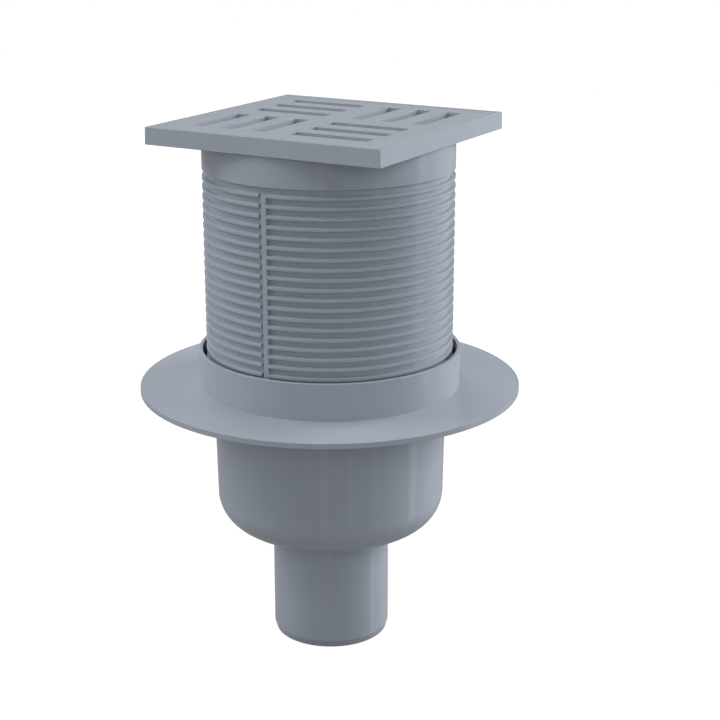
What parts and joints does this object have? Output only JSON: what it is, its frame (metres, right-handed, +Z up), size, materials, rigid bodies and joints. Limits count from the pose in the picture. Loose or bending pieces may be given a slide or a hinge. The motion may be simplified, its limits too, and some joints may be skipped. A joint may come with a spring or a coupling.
{
  "type": "gully trap",
  "caption": "Vertical floor gully: square slotted grate on a ribbed height-adjustable riser, round sealing flange, trap bowl with bell and straight outlet spigot.",
  "frame": {"origin": "centre of the outlet spigot's open end, which is the centre of the bounding box's bottom", "axes": "+Z up along the axis of the outlet, bowl and riser; X and Y along the sides of the square frame"},
  "size_m": [0.16, 0.16, 0.2245],
  "materials": {
    "grey_plastic": "semi-gloss moulded polypropylene",
    "black_rubber": "matte"
  },
  "bodies": {
    "base": {"drain_body": "grey_plastic", "trap_bell": "grey_plastic"},
    "ring": {"collar_seal": "black_rubber"},
    "riser_unit": {"riser": "grey_plastic", "grate": "grey_plastic"}
  },
  "joints": [
    {"name": "riser_turn", "type": "hinge", "parent": "base", "child": "ring", "pos_m": [0, 0, 0.1215], "axis": [0, 0, 1], "continuous": true},
    {"name": "riser_height", "type": "slide", "parent": "ring", "child": "riser_unit", "axis": [0, 0, 1], "range_m": [0, 0.006]}
  ]
}
